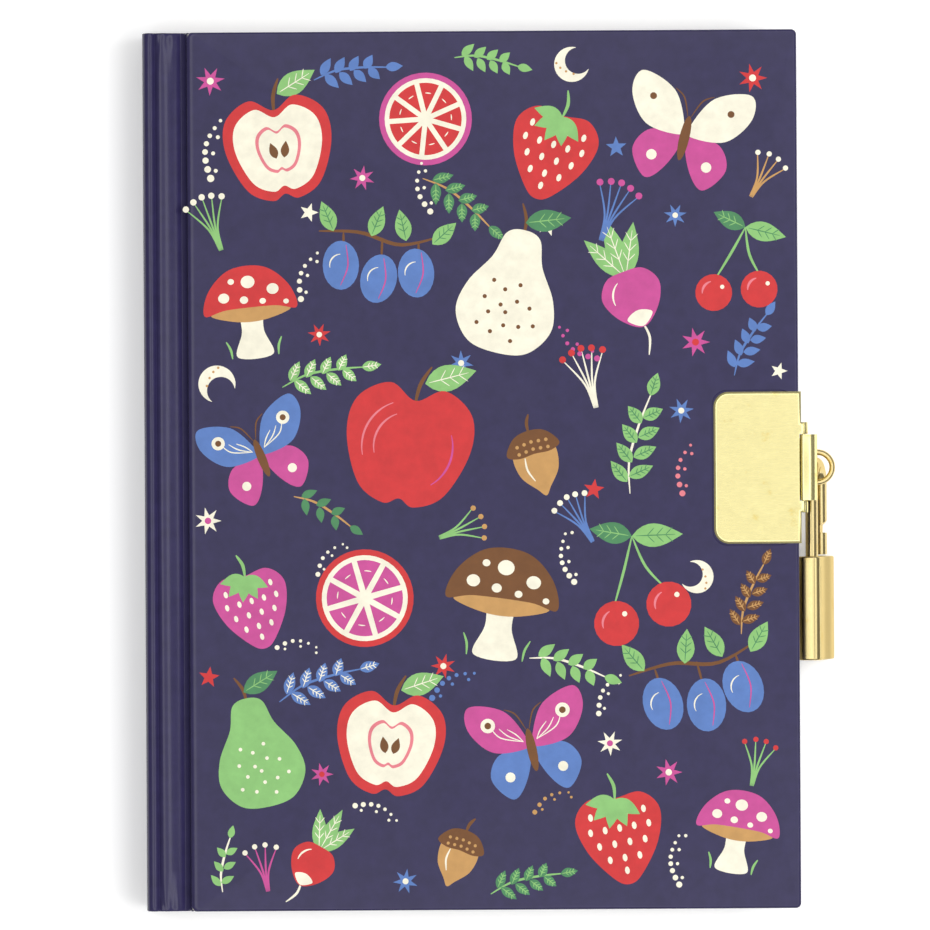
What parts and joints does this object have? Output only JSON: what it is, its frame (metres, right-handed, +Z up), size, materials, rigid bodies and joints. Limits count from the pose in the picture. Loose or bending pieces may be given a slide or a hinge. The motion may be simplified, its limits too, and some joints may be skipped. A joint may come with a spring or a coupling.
{
  "type": "diary with lock",
  "caption": "Hardback diary with a navy case, grooved spine, brass hasp plate at the fore edge and a small brass padlock through the staple.",
  "frame": {"origin": "middle of the back cover's underside, half way from spine face to fore edge and head to tail", "axes": "+X to the fore edge, +Y to the head of the book, +Z up through the closed book"},
  "size_m": [0.1418, 0.18, 0.0185],
  "materials": {
    "case_wrap": "navy printed paper with a gloss film",
    "greyboard": "bare grey board",
    "endpaper": "matt endpaper",
    "page_paper": "uncoated writing paper",
    "spine_gauze": "glued open gauze",
    "band_cloth": "woven stripe",
    "sheet_brass": "polished, thin lacquer",
    "brass_wire": "bright drawn wire",
    "padlock_brass": "polished",
    "lock_steel": "plain"
  },
  "bodies": {
    "block": {"spine_board": "greyboard", "spine_wrap": "case_wrap", "front_groove_strip": "case_wrap", "back_groove_strip": "case_wrap", "back_flyleaf": "endpaper", "section_1": "page_paper", "section_2": "page_paper", "section_3": "page_paper", "section_4": "page_paper", "leaf_folds": "page_paper", "spine_lining": "spine_gauze", "head_band": "band_cloth", "tail_band": "band_cloth"},
    "front_cover": {"front_board": "greyboard", "front_cover_wrap": "case_wrap", "front_pastedown": "endpaper", "front_plate": "sheet_brass", "hasp_pin": "brass_wire"},
    "hasp_tongue": {"hasp": "sheet_brass"},
    "leaf_group_1": {"leaves_1": "page_paper"},
    "leaf_group_2": {"leaves_2": "page_paper"},
    "leaf_group_3": {"leaves_3": "page_paper"},
    "leaf_group_4": {"leaves_4": "page_paper"},
    "flyleaf": {"front_flyleaf": "endpaper"},
    "back_cover": {"back_board": "greyboard", "back_cover_wrap": "case_wrap", "back_pastedown": "endpaper", "back_plate": "sheet_brass", "staple": "brass_wire"},
    "padlock_shackle": {"shackle": "brass_wire"},
    "shackle_clip": {"heel_clip": "lock_steel"},
    "padlock_case": {"padlock_front_shell": "padlock_brass", "padlock_back_shell": "padlock_brass", "padlock_rivets": "padlock_brass"},
    "plug": {"key_plug": "padlock_brass"},
    "bolt": {"lock_bolt": "lock_steel"}
  },
  "joints": [
    {"name": "front_cover_hinge", "type": "hinge", "parent": "block", "child": "front_cover", "pos_m": [-0.0594, 0, 0.01755], "axis": [0, -1, 0], "range_deg": [0, 180]},
    {"name": "back_cover_hinge", "type": "hinge", "parent": "block", "child": "back_cover", "pos_m": [-0.0594, 0, 0.00065], "axis": [0, 1, 0], "range_deg": [0, 180]},
    {"name": "hasp_hinge", "type": "hinge", "parent": "front_cover", "child": "hasp_tongue", "pos_m": [0.06805, 0.00025, 0.01768], "axis": [0, -1, 0], "range_deg": [0, 90]},
    {"name": "leaf_group_1_turn", "type": "hinge", "parent": "block", "child": "leaf_group_1", "pos_m": [-0.0574, 0, 0.0154], "axis": [0, -1, 0], "range_deg": [0, 18]},
    {"name": "leaf_group_2_turn", "type": "hinge", "parent": "block", "child": "leaf_group_2", "pos_m": [-0.0574, 0, 0.0154], "axis": [0, -1, 0], "range_deg": [0, 36]},
    {"name": "leaf_group_3_turn", "type": "hinge", "parent": "block", "child": "leaf_group_3", "pos_m": [-0.0574, 0, 0.0154], "axis": [0, -1, 0], "range_deg": [0, 54]},
    {"name": "leaf_group_4_turn", "type": "hinge", "parent": "block", "child": "leaf_group_4", "pos_m": [-0.0574, 0, 0.0154], "axis": [0, -1, 0], "range_deg": [0, 72]},
    {"name": "flyleaf_turn", "type": "hinge", "parent": "block", "child": "flyleaf", "pos_m": [-0.0574, 0, 0.0154], "axis": [0, -1, 0], "range_deg": [0, 86.4]},
    {"name": "padlock_swing", "type": "hinge", "parent": "back_cover", "child": "padlock_shackle", "pos_m": [0.0711, 0.00025, 0.0104], "axis": [0, 0, 1], "range_deg": [0, 90]},
    {"name": "case_swivel", "type": "hinge", "parent": "padlock_shackle", "child": "shackle_clip", "pos_m": [0.06982, 0, 0.0124], "axis": [0, -1, 0], "range_deg": [0, 150]},
    {"name": "shackle_travel", "type": "slide", "parent": "shackle_clip", "child": "padlock_case", "axis": [0, 1, 0], "range_m": [0, 0.009]},
    {"name": "key_turn", "type": "hinge", "parent": "padlock_case", "child": "plug", "pos_m": [0.0709, 0, 0.0085], "axis": [0, -1, 0], "range_deg": [0, 90]},
    {"name": "bolt_rock", "type": "hinge", "parent": "padlock_case", "child": "bolt", "pos_m": [0.0709, -0.02647, 0.0085], "axis": [-0.9636, 0, -0.2672], "range_deg": [0, 18.18]}
  ],
  "couplings": [
    {"joint": "hasp_hinge", "follows": "front_cover_hinge", "ratio": 0.5},
    {"joint": "leaf_group_1_turn", "follows": "front_cover_hinge", "ratio": 0.1},
    {"joint": "leaf_group_2_turn", "follows": "front_cover_hinge", "ratio": 0.2},
    {"joint": "leaf_group_3_turn", "follows": "front_cover_hinge", "ratio": 0.3},
    {"joint": "leaf_group_4_turn", "follows": "front_cover_hinge", "ratio": 0.4},
    {"joint": "flyleaf_turn", "follows": "front_cover_hinge", "ratio": 0.48},
    {"joint": "bolt_rock", "follows": "key_turn", "ratio": 0.20203}
  ]
}
